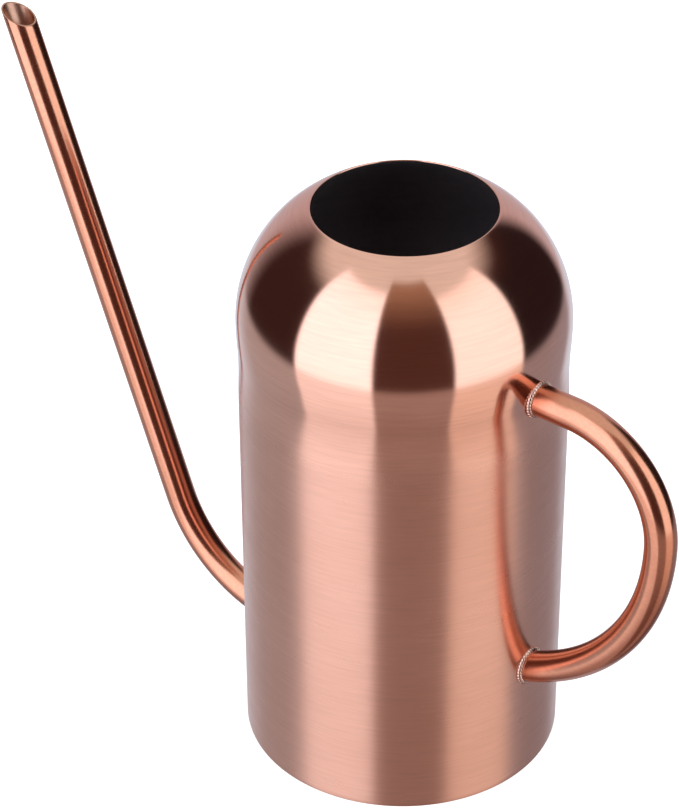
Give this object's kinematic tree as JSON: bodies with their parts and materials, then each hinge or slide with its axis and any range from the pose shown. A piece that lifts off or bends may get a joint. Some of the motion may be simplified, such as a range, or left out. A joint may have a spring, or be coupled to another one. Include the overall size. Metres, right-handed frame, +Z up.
{
  "type": "watering can",
  "caption": "Slim round watering can with a domed open-topped shoulder, a long bent-tube spout cut on a slant, and an ear-shaped tube handle, in brushed copper finish.",
  "frame": {"origin": "middle of the foot ring, on the floor", "axes": "+Z up along the round tank's axis, +X towards the handle, spout towards -X, handle and spout both in the plane Y = 0"},
  "size_m": [0.266, 0.1026, 0.2066],
  "materials": {
    "tank_copper": "copper-plated, brushed round the tank",
    "shoulder_copper": "copper-plated, spun and satin polished",
    "tube_copper": "copper-plated, polished",
    "weld_copper": "copper-plated weld bead, satin",
    "base_copper": "copper-plated, satin"
  },
  "bodies": {
    "root": {"body_tube": "tank_copper", "dome_shoulder": "shoulder_copper", "girth_seam_weld": "weld_copper", "base_pan": "base_copper", "base_seam_weld": "weld_copper", "spout_tube": "tube_copper", "spout_weld": "weld_copper", "handle_tube": "tube_copper", "handle_upper_weld": "weld_copper", "handle_lower_weld": "weld_copper"}
  },
  "joints": []
}
